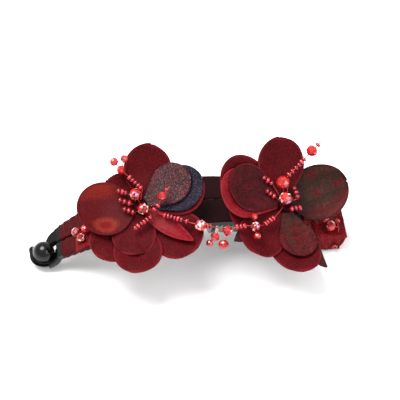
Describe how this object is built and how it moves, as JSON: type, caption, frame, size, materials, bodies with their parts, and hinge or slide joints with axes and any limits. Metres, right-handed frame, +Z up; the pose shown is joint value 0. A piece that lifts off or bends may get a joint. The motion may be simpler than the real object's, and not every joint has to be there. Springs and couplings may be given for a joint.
{
  "type": "hair clip",
  "caption": "Arched comb hair clip with two hinged toothed arms, a ball and cradle clasp, and two fabric flowers trimmed with glass beads on wire.",
  "frame": {"origin": "centre of the bounding box in plan, at the level the clip rests on", "axes": "+X along the clip from the clasp to the hinge, +Y across it from the decorated fixed arm to the swing arm, +Z up out of the top of the arch"},
  "size_m": [0.132, 0.0528, 0.0495],
  "materials": {
    "black_plastic": "smooth glossy moulding",
    "pin_steel": "plain",
    "ribbed_ribbon": "ribbed grosgrain",
    "red_satin": "satin with a visible weave",
    "bright_satin": "smooth satin",
    "pad_felt": "felt",
    "maroon_suede": "soft suede-like satin",
    "gold_print": "maroon satin with orange-red and gold printed patches",
    "blue_print": "dark blue-grey shimmer",
    "organza": "sparkling organza",
    "plaid_print": "green, brown and red plaid",
    "green_print": "dark green and pink leaf print",
    "bead_wire": "lacquered craft wire",
    "seed_glass": "translucent red",
    "crystal_glass": "faceted, rainbow coated"
  },
  "bodies": {
    "fixed_arm_body": {"fixed_arm": "black_plastic", "hinge_pin": "pin_steel", "fixed_arm_ribbon": "ribbed_ribbon", "fixed_clasp_wrap": "red_satin", "satin_patch": "red_satin", "hinge_hood": "red_satin", "left_flower_pad": "pad_felt", "left_petal_top": "maroon_suede", "left_petal_upper_left_back": "maroon_suede", "left_petal_printed": "gold_print", "left_petal_lower_left_back": "maroon_suede", "left_petal_lower_front": "maroon_suede", "left_petal_lower_back": "maroon_suede", "left_petal_lower_right": "maroon_suede", "left_petal_blue_back": "maroon_suede", "left_petal_blue": "blue_print", "left_petal_organza": "organza", "left_leaf_red": "bright_satin", "right_flower_pad": "pad_felt", "right_petal_top": "maroon_suede", "right_petal_upper_left_back": "maroon_suede", "right_petal_left_outer": "maroon_suede", "right_petal_left_red": "bright_satin", "right_petal_left_inner": "organza", "right_petal_left_back": "maroon_suede", "right_petal_lower_left": "maroon_suede", "right_petal_lower_right": "maroon_suede", "right_petal_lower_inner": "plaid_print", "right_petal_plaid": "plaid_print", "right_leaf_left": "green_print", "right_leaf_right": "green_print", "left_centre_wire": "bead_wire", "left_centre_seeds": "seed_glass", "left_centre_crystals": "crystal_glass", "left_sprigs_wire": "bead_wire", "left_sprigs_seeds": "seed_glass", "left_sprigs_crystals": "crystal_glass", "garland_wire": "bead_wire", "garland_seeds": "seed_glass", "garland_crystals": "crystal_glass", "right_centre_wire": "bead_wire", "right_centre_seeds": "seed_glass", "right_centre_crystals": "crystal_glass", "right_sprig_wire": "bead_wire", "right_sprig_seeds": "seed_glass", "right_sprig_crystals": "crystal_glass", "clasp_beads_wire": "bead_wire", "clasp_beads_seeds": "seed_glass", "clasp_beads_crystals": "crystal_glass", "hinge_beads_wire": "bead_wire", "hinge_beads_seeds": "seed_glass", "hinge_beads_crystals": "crystal_glass"},
    "swing_arm_body": {"swing_arm": "black_plastic", "swing_arm_ribbon": "ribbed_ribbon", "swing_clasp_wrap": "red_satin"}
  },
  "joints": [
    {"name": "arm_hinge", "type": "hinge", "parent": "fixed_arm_body", "child": "swing_arm_body", "pos_m": [0.05888, 0.01226, 0.0041], "axis": [0, 0, -1], "range_deg": [0, 50]}
  ]
}
